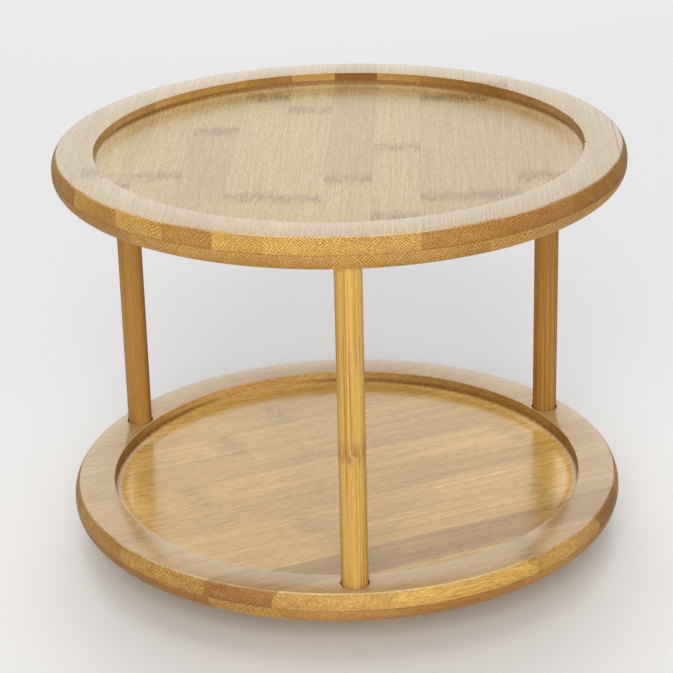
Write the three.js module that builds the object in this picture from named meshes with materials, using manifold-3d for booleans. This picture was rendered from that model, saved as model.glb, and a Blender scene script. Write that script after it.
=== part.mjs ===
// Two-tier lazy susan turntable: two laminated bamboo trays on three dowel posts,
// turning on a riveted ball-bearing swivel above a small bamboo base disc.
// Millimetres, +Z up. Z = 0 is the surface that the rubber feet stand on, the Z axis is
// the spin axis, and one post stands at the front, towards -Y.
import * as THREE from 'three';
import { mergeVertices } from 'three/addons/utils/BufferGeometryUtils.js';
import Module from 'manifold-3d';

const wasm = await Module();
wasm.setup();

// ---- Driving dimensions -------------------------------------------------------------
const trayRadius = 127;            // widest, at the glue line: a 10 inch tray
const trayTopFaceRadius = 124.85;  // where the edge meets the top face
const trayUndersideRadius = 116.6; // flat part of the underside
const trayThickness = 16;
const topPlyThickness = 7.4;
const recessRadius = 108.3;
const recessWall = 4.0;            // straight part of the recess wall
const recessCove = 2.3;            // hollow rounding between the wall and the floor
const tierSpacing = 158.8;         // top face to top face
const glueGap = 0.1;               // between two pieces that touch face to face

const postRadius = 5.75;
const postCircleRadius = 115.2;
const postAngles = { front: -90, right: 30, left: 150 };
const socketClearance = 0.35;      // radial, around a post in its drilled socket
const socketDepth = 10.3;          // below the lower tray's top, above the upper one's underside

const screwShankRadius = 1.8;      // the wood screws that hold the posts
const screwHeadRadius = 3.7;
const screwHeadHeight = 2.4;
const screwLength = 22;
const screwPointLength = 4;
const screwSink = 0.6;             // the screw head sits this far inside the underside
const pilotSpare = 1;              // drilled past the screw's point

const quarterAngles = [45, 135, 225, 315];
const footRadius = 7;
const footHeight = 2.5;
const footChamfer = 1;
const footCircleRadius = 64;
const baseRadius = 80;
const baseThickness = 7.8;
const baseEdgeRound = 2;
const accessHoleRadius = 6;        // lets a screwdriver reach the upper plate's screws

const ballRadius = 2.5;
const ballCount = 12;
const ballCircleRadius = 30;
const ballClearance = 0.3;
const cageHalfWidth = 4.2;
const cageHalfThickness = 0.5;
const plateThickness = 1;
const plateRadius = 50;
const plateBoreRadius = 7;
const swivelHeight = 8;            // over both plates
const grooveLip = -1.1;            // height of the groove's lips, from the balls' centres
const flangeStepRadius = ballCircleRadius + 4.6;
const flangeStepSlant = 0.6;       // the step leans by this much each way
const plateAccessHoleRadius = 5;
const plateScrewCircleRadius = 44;
const upperScrewTurn = 22.5;       // the upper plate is fixed turned from the lower plate
const panShankRadius = 1.6;
const panShankLength = 6;
const panPointLength = 1.5;
const panHeadRadius = 3.4;
const panHeadHeight = 1.9;
const panCrownShare = 0.6;         // share of the head's height and radius where its crown starts
const screwHoleClearance = 0.35;
const rivetTubeRadius = 6.6;
const rivetWall = 1;
const rivetFlangeRadius = 10;
const rivetFlangeThickness = 0.7;
const rivetPlay = 0.15;            // between a rivet flange and its plate

// ---- Facets round each turned shape ---------------------------------------------------
const traySegments = 60;
const discSegments = 40;
const postSegments = 20;
const screwSegments = 12;
const holeSegments = 10;

// ---- Levels, from the surface up ----------------------------------------------------
const baseBottom = footHeight + glueGap;
const baseTop = baseBottom + baseThickness;
const swivelBottom = baseTop + glueGap;
const swivelMiddle = swivelBottom + swivelHeight / 2;
const lowerTrayBottom = swivelBottom + swivelHeight + glueGap;
const lowerTrayTop = lowerTrayBottom + trayThickness;
const upperTrayTop = lowerTrayTop + tierSpacing;
const upperTrayBottom = upperTrayTop - trayThickness;
const bottomPlyThickness = trayThickness - topPlyThickness;

// ---- Materials ----------------------------------------------------------------------
function finish(color, roughness, metalness = 0) {
  return new THREE.MeshStandardMaterial({ color, roughness, metalness });
}
const materials = {
  upperTray: finish(0xd9cbb0, 0.7),
  lowerTray: finish(0xccab7c, 0.5),
  post: finish(0xc0924a, 0.45),
  base: finish(0xc39a5c, 0.6),
  plate: finish(0xb4b8bc, 0.35, 1),
  fastener: finish(0xc3c5c8, 0.3, 1),
  ball: finish(0xdddfe2, 0.12, 1),
  cage: finish(0xe6e3da, 0.5),
  foot: finish(0x2b2b2b, 0.85),
};

// ---- Shape helpers ------------------------------------------------------------------
const radians = THREE.MathUtils.degToRad;

function onCircle(radius, degrees, z = 0) {
  const angle = radians(degrees);
  return new THREE.Vector3(radius * Math.cos(angle), radius * Math.sin(angle), z);
}

// A profile of [radius, height] pairs turned round the Z axis, anticlockwise in the
// half-plane, from the axis to the axis or closed on itself.
function lathe(profile, segments) {
  const points = profile.map(([radius, height]) => new THREE.Vector2(radius, height));
  return new THREE.LatheGeometry(points, segments).rotateX(Math.PI / 2);
}

// count + 1 points of an ellipse's arc, given by its centre and half-axes.
function arc([r, z], [halfWidth, halfHeight], fromDegrees, toDegrees, count) {
  return Array.from({ length: count + 1 }, (_, i) => {
    const angle = radians(fromDegrees + ((toDegrees - fromDegrees) * i) / count);
    return [r + halfWidth * Math.cos(angle), z + halfHeight * Math.sin(angle)];
  });
}

function rod(radius, bottom, top, segments) {
  return lathe([[0, bottom], [radius, bottom], [radius, top], [0, top]], segments);
}

function toSolid(geometry) {
  const bare = geometry.clone();
  bare.deleteAttribute('normal');
  bare.deleteAttribute('uv');
  const merged = mergeVertices(bare, 1e-4);
  const index = merged.index.array;
  const kept = [];
  for (let i = 0; i < index.length; i += 3) {
    const [a, b, c] = [index[i], index[i + 1], index[i + 2]];
    if (a !== b && b !== c && c !== a) kept.push(a, b, c);
  }
  return new wasm.Manifold(new wasm.Mesh({
    numProp: 3,
    vertProperties: new Float32Array(merged.attributes.position.array),
    triVerts: new Uint32Array(kept),
  }));
}

function toGeometry(solid) {
  const mesh = solid.getMesh();
  const geometry = new THREE.BufferGeometry();
  geometry.setAttribute('position', new THREE.BufferAttribute(new Float32Array(mesh.vertProperties), 3));
  geometry.setIndex(new THREE.BufferAttribute(new Uint32Array(mesh.triVerts), 1));
  geometry.computeVertexNormals();
  return geometry;
}

function cut(geometry, tools) {
  let solid = toSolid(geometry);
  for (const tool of tools) solid = solid.subtract(toSolid(tool));
  return toGeometry(solid);
}

const turntable = new THREE.Group();

function add(name, geometry, material, position = new THREE.Vector3()) {
  const mesh = new THREE.Mesh(geometry, material);
  mesh.name = name;
  mesh.position.copy(position);
  turntable.add(mesh);
}

// ---- Trays --------------------------------------------------------------------------
// The edge bulges from the top face out to the glue line, ever more steeply, then rolls
// under in a long rounding. Both plies are drawn with the tray's underside at height 0.
function crownedEdge(steps) {
  const bulge = trayRadius - trayTopFaceRadius;
  return Array.from({ length: steps + 1 }, (_, i) => {
    const rise = i / steps;
    return [trayRadius - bulge * rise ** 3, bottomPlyThickness + topPlyThickness * rise];
  });
}

function bottomPly() {
  const top = bottomPlyThickness - glueGap / 2;
  const rounding = [trayRadius - trayUndersideRadius, top];
  const edge = arc([trayUndersideRadius, top], rounding, -90, 0, 5);
  return lathe([[0, 0], ...edge, [0, top]], traySegments);
}

function topPly() {
  const bottom = bottomPlyThickness + glueGap / 2;
  const edge = crownedEdge(4);
  edge[0][1] = bottom;
  const wallFoot = trayThickness - recessWall;
  const coveCentre = [recessRadius - recessCove, wallFoot];
  const cove = arc(coveCentre, [recessCove, recessCove], 0, -90, 3);
  const floor = [0, wallFoot - recessCove];
  return lathe([[0, bottom], ...edge, [recessRadius, trayThickness], ...cove, floor], traySegments);
}

// Lower tray: posts stand in sockets drilled from above, through the top ply and part of
// the bottom ply; a countersunk screw comes up into each post from the underside.
function postPlaces(z) {
  return Object.values(postAngles).map((degrees) => onCircle(postCircleRadius, degrees, z));
}

function drill(geometry, makeTool) {
  const tools = postPlaces(0).map((place) => makeTool().translate(place.x, place.y, 0));
  return cut(geometry, tools);
}

const socketRadius = postRadius + socketClearance;
const beyond = 5;                  // how far a cutter runs past the face it opens

// Holes for the four pan-head screws of one swivel plate.
const panScrewDepth = panShankLength - plateThickness + screwHoleClearance;

function plateScrewHoles(bottom, top) {
  return quarterAngles.map((degrees) => {
    const place = onCircle(plateScrewCircleRadius, degrees);
    const hole = rod(panShankRadius + screwHoleClearance, bottom, top, holeSegments);
    return hole.translate(place.x, place.y, 0);
  });
}

function countersink() {
  const shank = screwShankRadius + screwHoleClearance;
  const head = screwHeadRadius + screwHoleClearance;
  const headTop = screwSink + screwHeadHeight + screwHoleClearance;
  return lathe([
    [0, -beyond], [head, -beyond], [head, screwSink],
    [shank, headTop], [shank, trayThickness], [0, trayThickness],
  ], screwSegments);
}

function addLowerTray() {
  const place = new THREE.Vector3(0, 0, lowerTrayBottom);
  const socket = () => rod(socketRadius, trayThickness - socketDepth, trayThickness + beyond, postSegments);
  const pilots = plateScrewHoles(-beyond, panScrewDepth).map((hole) => hole.rotateZ(radians(upperScrewTurn)));
  const lowPly = cut(drill(drill(bottomPly(), socket), countersink), pilots);
  add('lower_tray_bottom_ply', lowPly, materials.lowerTray, place);
  add('lower_tray_top_ply', drill(topPly(), socket), materials.lowerTray, place);
}

// Upper tray: the posts end in blind sockets drilled from the underside.
function addUpperTray() {
  const place = new THREE.Vector3(0, 0, upperTrayBottom);
  const socket = () => rod(socketRadius, -beyond, socketDepth, postSegments);
  add('upper_tray_bottom_ply', drill(bottomPly(), socket), materials.upperTray, place);
  add('upper_tray_top_ply', drill(topPly(), socket), materials.upperTray, place);
}

// ---- Posts and their screws ---------------------------------------------------------
function addPosts() {
  const bottom = lowerTrayTop - socketDepth + glueGap;
  const top = upperTrayBottom + socketDepth - glueGap;
  const screwBottom = lowerTrayBottom + screwSink;
  const pilotTop = screwBottom + screwLength + pilotSpare;
  const post = rod(postRadius, bottom, top, postSegments);
  const pilot = rod(screwShankRadius + screwHoleClearance, bottom - beyond, pilotTop, holeSegments);
  const drilled = cut(post, [pilot]);
  const screw = lathe([
    [0, 0], [screwHeadRadius, 0], [screwShankRadius, screwHeadHeight],
    [screwShankRadius, screwLength - screwPointLength], [0, screwLength],
  ], screwSegments);
  for (const [side, degrees] of Object.entries(postAngles)) {
    add(`post_${side}`, drilled, materials.post, onCircle(postCircleRadius, degrees));
    add(`post_screw_${side}`, screw, materials.fastener,
      onCircle(postCircleRadius, degrees, screwBottom));
  }
}

// ---- Base disc and feet -------------------------------------------------------------
function addBase() {
  const rounding = [baseEdgeRound, baseEdgeRound];
  const low = arc([baseRadius - baseEdgeRound, baseEdgeRound], rounding, -90, 0, 2);
  const high = arc([baseRadius - baseEdgeRound, baseThickness - baseEdgeRound], rounding, 0, 90, 2);
  const disc = lathe([[0, 0], ...low, ...high, [0, baseThickness]], traySegments);
  const holes = plateScrewHoles(baseThickness - panScrewDepth, baseThickness + beyond);
  const access = onCircle(plateScrewCircleRadius, 0);
  const accessHole = rod(accessHoleRadius, -beyond, baseThickness + beyond, postSegments);
  holes.push(accessHole.translate(access.x, access.y, 0));
  add('base_disc', cut(disc, holes), materials.base, new THREE.Vector3(0, 0, baseBottom));

  const foot = lathe([
    [0, 0], [footRadius - footChamfer, 0], [footRadius, footChamfer],
    [footRadius, footHeight], [0, footHeight],
  ], postSegments);
  quarterAngles.forEach((degrees, i) => {
    add(`foot_${i + 1}`, foot, materials.foot, onCircle(footCircleRadius, degrees));
  });
}

// ---- Swivel bearing -----------------------------------------------------------------
// A stamped plate: screw flange outside, then the ball groove, then a raised middle with
// the rivet hole. Drawn as the lower plate, with height 0 at the balls' centres; the
// upper plate is the same pressing upside down.
const flangeTop = -swivelHeight / 2 + plateThickness;

function groove(radius, lip, count) {
  const half = THREE.MathUtils.radToDeg(Math.acos(-lip / radius));
  return arc([ballCircleRadius, 0], [radius, radius], -90 + half, -90 - half, count);
}

function stampedPlate() {
  const grooveRadius = ballRadius + ballClearance;
  const inside = groove(grooveRadius, grooveLip, 4);
  const outside = groove(grooveRadius + plateThickness, grooveLip - plateThickness, 2);
  const profile = [
    [plateBoreRadius, grooveLip - plateThickness], ...outside.reverse(),
    [flangeStepRadius - flangeStepSlant, flangeTop - plateThickness],
    [plateRadius, flangeTop - plateThickness], [plateRadius, flangeTop],
    [flangeStepRadius + flangeStepSlant, flangeTop], ...inside,
    [plateBoreRadius, grooveLip], [plateBoreRadius, grooveLip - plateThickness],
  ];
  const holes = plateScrewHoles(-beyond, 0);
  const access = onCircle(plateScrewCircleRadius, 0);
  const accessHole = rod(plateAccessHoleRadius, -beyond, 0, postSegments);
  holes.push(accessHole.translate(access.x, access.y, 0));
  return cut(lathe(profile, discSegments), holes);
}

// A pan-head screw with its thread downwards; height 0 is under its head.
function panScrew() {
  return lathe([
    [0, -panShankLength], [panShankRadius, panPointLength - panShankLength], [panShankRadius, 0],
    [panHeadRadius, 0], [panHeadRadius, panHeadHeight * panCrownShare],
    [panHeadRadius * panCrownShare, panHeadHeight], [0, panHeadHeight],
  ], screwSegments);
}

function addSwivel() {
  const middle = new THREE.Vector3(0, 0, swivelMiddle);
  const plate = stampedPlate();
  add('bearing_lower_plate', plate, materials.plate, middle);
  const upper = plate.clone().rotateX(Math.PI).rotateZ(radians(upperScrewTurn));
  add('bearing_upper_plate', upper, materials.plate, middle);

  const screw = panScrew();
  const headSeat = swivelHeight / 2 - plateThickness - glueGap;
  quarterAngles.forEach((degrees, i) => {
    const low = onCircle(plateScrewCircleRadius, degrees, swivelMiddle - headSeat);
    add(`base_screw_${i + 1}`, screw, materials.fastener, low);
    const high = onCircle(plateScrewCircleRadius, degrees + upperScrewTurn, swivelMiddle + headSeat);
    add(`tray_screw_${i + 1}`, screw.clone().rotateX(Math.PI), materials.fastener, high);
  });

  // Tubular rivet through both plates, with a rolled flange at each end.
  const inner = rivetTubeRadius - rivetWall;
  const seat = plateThickness - grooveLip + rivetPlay;
  const end = seat + rivetFlangeThickness;
  const rivet = lathe([
    [inner, -end], [rivetFlangeRadius, -end], [rivetFlangeRadius, -seat],
    [rivetTubeRadius, -seat], [rivetTubeRadius, seat], [rivetFlangeRadius, seat],
    [rivetFlangeRadius, end], [inner, end], [inner, -end],
  ], postSegments);
  add('centre_rivet', rivet, materials.fastener, middle);

  // Flat ring that spaces the balls.
  const ring = lathe([
    [ballCircleRadius - cageHalfWidth, -cageHalfThickness],
    [ballCircleRadius + cageHalfWidth, -cageHalfThickness],
    [ballCircleRadius + cageHalfWidth, cageHalfThickness],
    [ballCircleRadius - cageHalfWidth, cageHalfThickness],
    [ballCircleRadius - cageHalfWidth, -cageHalfThickness],
  ], discSegments);
  const ball = new THREE.IcosahedronGeometry(ballRadius, 1);
  const pockets = [];
  for (let i = 0; i < ballCount; i += 1) {
    const place = onCircle(ballCircleRadius, (360 * i) / ballCount);
    const pocket = rod(ballRadius + ballClearance, -beyond, beyond, holeSegments);
    pockets.push(pocket.translate(place.x, place.y, 0));
    place.z = swivelMiddle;
    add(`ball_${i + 1}`, ball, materials.ball, place);
  }
  add('ball_cage', cut(ring, pockets), materials.cage, middle);
}

addBase();
addSwivel();
addLowerTray();
addPosts();
addUpperTray();

export default turntable;
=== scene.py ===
import math

import bmesh
import bpy
from mathutils import Matrix, Vector


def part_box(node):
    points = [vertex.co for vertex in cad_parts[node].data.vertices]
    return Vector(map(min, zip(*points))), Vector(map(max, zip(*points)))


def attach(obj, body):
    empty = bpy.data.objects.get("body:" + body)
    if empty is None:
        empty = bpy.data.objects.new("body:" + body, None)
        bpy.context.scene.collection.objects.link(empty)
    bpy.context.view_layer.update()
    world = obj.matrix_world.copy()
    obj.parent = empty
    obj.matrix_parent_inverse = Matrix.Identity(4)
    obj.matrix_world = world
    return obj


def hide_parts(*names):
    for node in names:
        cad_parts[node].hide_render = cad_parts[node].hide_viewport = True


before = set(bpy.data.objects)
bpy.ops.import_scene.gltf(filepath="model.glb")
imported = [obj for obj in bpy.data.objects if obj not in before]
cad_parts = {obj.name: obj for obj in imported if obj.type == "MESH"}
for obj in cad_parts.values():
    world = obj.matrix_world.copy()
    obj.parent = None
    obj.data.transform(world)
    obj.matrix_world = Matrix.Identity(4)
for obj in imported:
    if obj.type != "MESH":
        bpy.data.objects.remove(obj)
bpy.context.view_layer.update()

# A two-tier bamboo lazy susan: every piece is rebuilt here as a fine mesh on the place of
# its CAD node, with the trays' grain, strips and knuckles made by material nodes.
MM = 0.001

# ---- Places from the frame ----------------------------------------------------------


def low(node):
    return Vector(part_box(node)[0])


def high(node):
    return Vector(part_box(node)[1])


def middle(node):
    return (low(node) + high(node)) / 2


def half_width(node):
    """The radius of a round upright piece."""
    return (high(node).x - low(node).x) / 2


def half_height(node):
    return (high(node).z - low(node).z) / 2


def number(node):
    return int(node.rsplit("_", 1)[1])


NODES = sorted(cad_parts)


def starting(prefix):
    return [node for node in NODES if node.startswith(prefix)]


TRAY_RADIUS = high("upper_tray_top_ply").x
SWIVEL_LEVEL = middle("ball_1").z
BALLS = [node for node in starting("ball_") if node != "ball_cage"]
FEET = starting("foot_")
POSTS = ["post_front", "post_right", "post_left"]
POST_SCREWS = ["post_screw_front", "post_screw_right", "post_screw_left"]

# ---- Sizes the frame doesn't hold ---------------------------------------------------
TOP_FACE_RADIUS = 124.85 * MM
UNDERSIDE_RADIUS = 116.6 * MM
RECESS_RADIUS = 108.3 * MM
RECESS_WALL = 4.0 * MM
RECESS_COVE = 2.3 * MM
COVE_WIDTH = 6.0 * MM
LEDGE = 0.2 * MM
EDGE_EASE = 0.35 * MM
GLUE_EASE = 0.10 * MM
TRAY_STEPS = 288
EDGE_ROWS = 14
CENTRE_PATCH = 60 * MM

SOCKET_GAP = 0.5 * MM
SOCKET_FLARE = 0.12 * MM
SOCKET_SPARE = 0.1 * MM
POST_EASE = 0.6 * MM
POST_PILOT = 2.1 * MM
POST_PILOT_DEPTH = 15 * MM
PLATE_PILOT = 1.95 * MM
ACCESS = Vector((44 * MM, 0, 0))

PLATE = 1 * MM
LIP = 1.1 * MM
GROOVE_CIRCLE = 30 * MM
GROOVE_RADIUS = 2.8 * MM
PLATE_SCREW = 6 * MM
POCKET_RADIUS = 2.75 * MM

# How far a cutter reaches past the face that it opens, a little or well clear of it, and
# the least gap between vertices.
PAST = 2 * MM
CLEAR = 5 * MM
WELD = 1e-7

# ---- Mesh helpers -------------------------------------------------------------------


def as_object(name, bm, smooth_angle=35):
    bmesh.ops.remove_doubles(bm, verts=bm.verts, dist=WELD)
    bmesh.ops.recalc_face_normals(bm, faces=bm.faces)
    mesh = bpy.data.meshes.new(name)
    bm.to_mesh(mesh)
    bm.free()
    mesh.shade_smooth()
    mesh.set_sharp_from_angle(angle=math.radians(smooth_angle))
    obj = bpy.data.objects.new(name, mesh)
    bpy.context.scene.collection.objects.link(obj)
    return obj


def turned(name, profile, steps, smooth_angle=35):
    """A [radius, height] profile turned round Z: from axis to axis, or closed on itself."""
    bm = bmesh.new()
    angles = [2 * math.pi * i / steps for i in range(steps)]
    rings = []
    for radius, height in profile:
        if radius == 0:
            ring = [(0, 0, height)]
        else:
            ring = [(radius * math.cos(a), radius * math.sin(a), height) for a in angles]
        rings.append([bm.verts.new(point) for point in ring])
    pairs = list(zip(rings, rings[1:]))
    if len(rings[0]) > 1:
        pairs.append((rings[-1], rings[0]))
    for first, second in pairs:
        for i in range(steps):
            j = (i + 1) % steps
            if len(first) == 1:
                bm.faces.new((first[0], second[j], second[i]))
            elif len(second) == 1:
                bm.faces.new((first[i], first[j], second[0]))
            else:
                bm.faces.new((first[i], first[j], second[j], second[i]))
    return as_object(name, bm, smooth_angle)


def arc(centre, half, start, end, count):
    """count + 1 points of an ellipse's arc; half is its half-axes, the angles in degrees."""
    points = []
    for i in range(count + 1):
        angle = math.radians(start + (end - start) * i / count)
        points.append((centre[0] + half[0] * math.cos(angle), centre[1] + half[1] * math.sin(angle)))
    return points


def half_circle(radius, count):
    """A ball's profile, from pole to pole on the axis."""
    return [(0, -radius), *arc((0, 0), (radius, radius), -90, 90, count)[1:-1], (0, radius)]


def rounded(corners, radii, count=4):
    """A profile through corners, each rounded with an arc of its own radius."""
    points = []
    total = len(corners)
    for i, (corner, radius) in enumerate(zip(corners, radii)):
        here = Vector(corner)
        if radius == 0:
            points.append(tuple(here))
            continue
        before = (Vector(corners[i - 1]) - here).normalized()
        after = (Vector(corners[(i + 1) % total]) - here).normalized()
        half_angle = before.angle(after) / 2
        reach = radius / math.tan(half_angle)
        centre = here + (before + after).normalized() * (radius / math.sin(half_angle))
        start = here + before * reach - centre
        end = here + after * reach - centre
        turn = math.atan2(start.x * end.y - start.y * end.x, start.dot(end))
        for step in range(count + 1):
            spoke = Matrix.Rotation(turn * step / count, 2) @ start
            points.append(tuple(centre + spoke))
    return points


def moved(obj, place):
    obj.data.transform(Matrix.Translation(place))
    return obj


def spun(obj, angle, axis="Z"):
    obj.data.transform(Matrix.Rotation(angle, 4, axis))
    return obj


def copies(first, count):
    """The first object and count - 1 more with the same shape, each with its own mesh."""
    made = [first]
    for _ in range(count - 1):
        twin = first.copy()
        twin.data = first.data.copy()
        bpy.context.scene.collection.objects.link(twin)
        made.append(twin)
    return made


def carve(obj, cutters, smooth_angle=35):
    """Cut the cutters out of obj for good, and delete them."""
    for cutter in cutters:
        cut = obj.modifiers.new("cut", "BOOLEAN")
        cut.operation = "DIFFERENCE"
        cut.solver = "EXACT"
        cut.object = cutter
    bpy.context.view_layer.update()
    shape = obj.evaluated_get(bpy.context.evaluated_depsgraph_get())
    mesh = bpy.data.meshes.new_from_object(shape)
    obj.modifiers.clear()
    old = obj.data
    obj.data = mesh
    mesh.name = old.name
    bpy.data.meshes.remove(old)
    mesh.shade_smooth()
    mesh.set_sharp_from_angle(angle=math.radians(smooth_angle))
    for cutter in cutters:
        data = cutter.data
        bpy.data.objects.remove(cutter)
        bpy.data.meshes.remove(data)
    return obj


def round_cutter(radius, bottom, top, place, steps=32):
    hole = turned("cutter", [(0, bottom), (radius, bottom), (radius, top), (0, top)], steps)
    return moved(hole, Vector((place.x, place.y, 0)))


def pilot_cutters(prefix, bottom, top, steps):
    """Holes for the plate screws whose names start with prefix."""
    return [round_cutter(PLATE_PILOT, bottom, top, middle(node), steps) for node in starting(prefix)]


def cross_cutters(face, reach, depth):
    """Two wedges for a cross recess in a face that looks up."""
    top, foot, half = face + 0.2 * MM, face - depth, 0.42 * MM
    outline = [(-reach, -half), (reach, -half), (reach, half), (-reach, half)]
    cutters = []
    for angle in (20, 110):
        bm = bmesh.new()
        corners = [(x, y, top) for x, y in outline]
        corners += [(x * 0.35, y * 0.7, foot) for x, y, _ in corners]
        verts = [bm.verts.new(corner) for corner in corners]
        bm.faces.new(verts[:4])
        bm.faces.new(verts[:3:-1])
        for i in range(4):
            j = (i + 1) % 4
            bm.faces.new((verts[j], verts[i], verts[i + 4], verts[j + 4]))
        cutters.append(spun(as_object("cutter", bm), math.radians(angle)))
    return cutters


def finish_piece(obj, material, body, slot, *nodes):
    obj.data.materials.clear()
    obj.data.materials.append(material)
    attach(obj, body)
    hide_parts(*nodes)


# ---- Material nodes -----------------------------------------------------------------


class Graph:
    """Short names for building one material's node tree; colour is the paint so far."""

    def __init__(self, name):
        self.material = bpy.data.materials.new(name)
        self.material.use_nodes = True
        self.tree = self.material.node_tree
        self.tree.nodes.clear()
        output = self.node("ShaderNodeOutputMaterial")
        self.shader = self.node("ShaderNodeBsdfPrincipled")
        self.link(self.shader.outputs["BSDF"], output.inputs["Surface"])
        self.place = self.node("ShaderNodeTexCoord")
        self.colour = None

    def node(self, kind, **settings):
        made = self.tree.nodes.new(kind)
        for key, value in settings.items():
            setattr(made, key, value)
        return made

    def link(self, source, target):
        self.tree.links.new(source, target)

    def feed(self, socket, value):
        if isinstance(value, bpy.types.NodeSocket):
            self.link(value, socket)
        elif isinstance(value, tuple):
            socket.default_value = (*value, 1)
        else:
            socket.default_value = value

    def math(self, operation, *values, clamp=False):
        made = self.node("ShaderNodeMath", operation=operation, use_clamp=clamp)
        for socket, value in zip(made.inputs, values):
            self.feed(socket, value)
        return made.outputs[0]

    def product(self, *values):
        found = values[0]
        for value in values[1:]:
            found = self.math("MULTIPLY", found, value)
        return found

    def largest(self, values):
        found = values[0]
        for value in values[1:]:
            found = self.math("MAXIMUM", found, value)
        return found

    def distance(self, first, second):
        return self.math("ABSOLUTE", self.math("SUBTRACT", first, second))

    def varied(self, noise, amount, base):
        """base plus a share of a noise that lies round 0.5."""
        return self.math("MULTIPLY_ADD", self.math("SUBTRACT", noise, 0.5), amount, base)

    def ramp(self, value, start, end, low_out=0.0, high_out=1.0, smooth=True):
        kind = "SMOOTHSTEP" if smooth else "LINEAR"
        made = self.node("ShaderNodeMapRange", interpolation_type=kind)
        for socket, given in zip(made.inputs, (value, start, end, low_out, high_out)):
            self.feed(socket, given)
        return made.outputs["Result"]

    def blend(self, mask, none, full):
        """A value that goes from none to full with a mask."""
        return self.ramp(mask, 0.0, 1.0, none, full, smooth=False)

    def mix(self, factor, first, second, blend="MIX"):
        made = self.node("ShaderNodeMix", data_type="RGBA", blend_type=blend)
        self.feed(made.inputs[0], factor)
        self.feed(made.inputs[6], first)
        self.feed(made.inputs[7], second)
        return made.outputs[2]

    def paint(self, mask, colour):
        self.colour = self.mix(mask, self.colour, colour)

    def tint(self, mask, colour):
        self.colour = self.mix(mask, self.colour, colour, blend="MULTIPLY")

    def vector(self, x, y, z):
        made = self.node("ShaderNodeCombineXYZ")
        for socket, value in zip(made.inputs, (x, y, z)):
            self.feed(socket, value)
        return made.outputs[0]

    def length(self, vector):
        made = self.node("ShaderNodeVectorMath", operation="LENGTH")
        self.link(vector, made.inputs[0])
        return made.outputs["Value"]

    def split(self, vector):
        made = self.node("ShaderNodeSeparateXYZ")
        self.link(vector, made.inputs[0])
        return made.outputs

    def noise(self, vector, detail, scale=1.0, roughness=0.5):
        made = self.node("ShaderNodeTexNoise")
        self.link(vector, made.inputs["Vector"])
        made.inputs["Scale"].default_value = scale
        made.inputs["Detail"].default_value = detail
        made.inputs["Roughness"].default_value = roughness
        return made.outputs[0]

    def streaks(self, axes, cell, detail=2.0, roughness=0.5):
        """Noise drawn out along the first of three axes: cell is its cells' length and width."""
        length, width = cell
        stretched = [self.math("DIVIDE", axis, size) for axis, size in zip(axes, (length, width, width))]
        return self.noise(self.vector(*stretched), detail=detail, roughness=roughness)

    def steps(self, value, levels):
        """A constant value for each equal part of 0 to 1."""
        made = self.node("ShaderNodeValToRGB")
        made.color_ramp.interpolation = "CONSTANT"
        elements = made.color_ramp.elements
        for i, level in enumerate(levels):
            spot = i / len(levels)
            stop = elements[i] if i < 2 else elements.new(spot)
            stop.position = spot
            stop.color = (level, level, level, 1)
        self.link(value, made.inputs[0])
        return made.outputs[0]

    def bump(self, height, strength, distance):
        made = self.node("ShaderNodeBump")
        made.inputs["Strength"].default_value = strength
        made.inputs["Distance"].default_value = distance
        self.link(height, made.inputs["Height"])
        self.link(made.outputs[0], self.shader.inputs["Normal"])

    def finished(self, roughness):
        self.link(self.colour, self.shader.inputs["Base Color"])
        self.link(roughness, self.shader.inputs["Roughness"])
        return self.material


# ---- Bamboo -------------------------------------------------------------------------
# Linear colours of lacquered bamboo.
HONEY = (0.74, 0.455, 0.110)
BROWN = (0.33, 0.138, 0.020)
BUNDLE = (0.27, 0.085, 0.010)
KNUCKLE = (0.20, 0.11, 0.012)
GLUE = (0.13, 0.065, 0.02)
# Painted shade for the foot of the recess wall.
WALL_FOOT_SHADE = (0.25, 0.11, 0.018)
# Pale rings round the dowels' rootlet scars, and a painted highlight on the trays' crisp edges.
SCAR_RING_AND_EDGE_HIGHLIGHT = (0.90, 0.76, 0.55)
PINK = (0.52, 0.33, 0.20)
DOWEL_LINE = (0.30, 0.115, 0.020)
# Factors on the colour: painted light that makes the level floor beside the recess wall paler, and the
# wall where it runs across the grain and along it.
NEAR_WALL_PAINTED_LIGHT = (1.18, 1.20, 1.50)
END_WALL_TINT = (0.82, 0.79, 0.68)
LONG_WALL_TINT = (1.25, 1.20, 1.10)

# Length and width of the cells of the noises that are drawn out along the grain.
CLOUD = 70 * MM, 16 * MM
BAND = 260 * MM, 2.6 * MM
FIBRE = 45 * MM, 0.55 * MM
FLECK = 4 * MM, 0.42 * MM
COMB = 5 * MM, 0.75 * MM
LONG_COMB = 8 * MM, 0.8 * MM
PATCH = 10 * MM, 4 * MM
GLUE_SPOT = 9 * MM, 9 * MM
BUNDLE_SPACING = 1.08 * MM

# How level a face is where a side begins and ends, then how far it faces along the grain
# where a cut end begins and ends. In the recess the cove is as pale as the floor.
FACE_LIMITS = 0.80, 0.985, 0.30, 0.85
RECESS_FACE_LIMITS = 0.10, 0.60, 0.15, 0.90


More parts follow.
